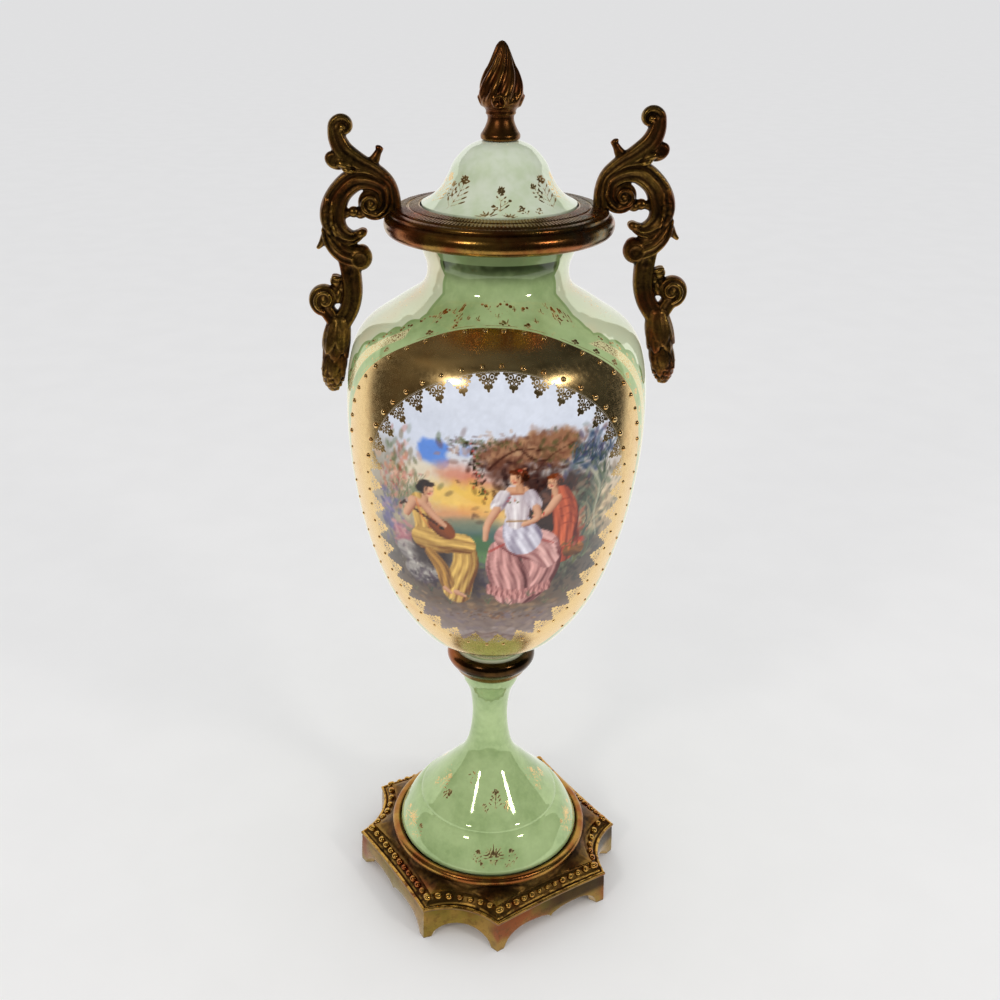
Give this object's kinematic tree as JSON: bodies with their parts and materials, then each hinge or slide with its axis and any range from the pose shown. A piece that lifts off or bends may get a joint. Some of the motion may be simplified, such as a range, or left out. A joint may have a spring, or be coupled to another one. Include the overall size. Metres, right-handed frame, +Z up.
{
  "type": "mantel urn",
  "caption": "Covered baluster mantel urn: hollow porcelain body, pedestal foot and lid in cast brass mounts, with two scroll handles, a flame finial and a footed base.",
  "frame": {"origin": "on the urn's axis, at the level its eight feet stand on", "axes": "+Z up through the finial; the handles lie along X; the painted front faces -Y"},
  "size_m": [0.1555, 0.1322, 0.4],
  "materials": {
    "cast_brass": "aged, dark in the recesses",
    "turned_brass": "aged, smooth",
    "coppery_brass": "aged, reddish",
    "porcelain": "lustre glaze, painted and gilt"
  },
  "bodies": {
    "root": {"base": "cast_brass", "foot": "porcelain", "collar": "turned_brass", "body": "porcelain", "rim_ring": "turned_brass", "handle_left": "cast_brass", "handle_right": "cast_brass", "lid": "porcelain", "finial": "coppery_brass"}
  },
  "joints": []
}
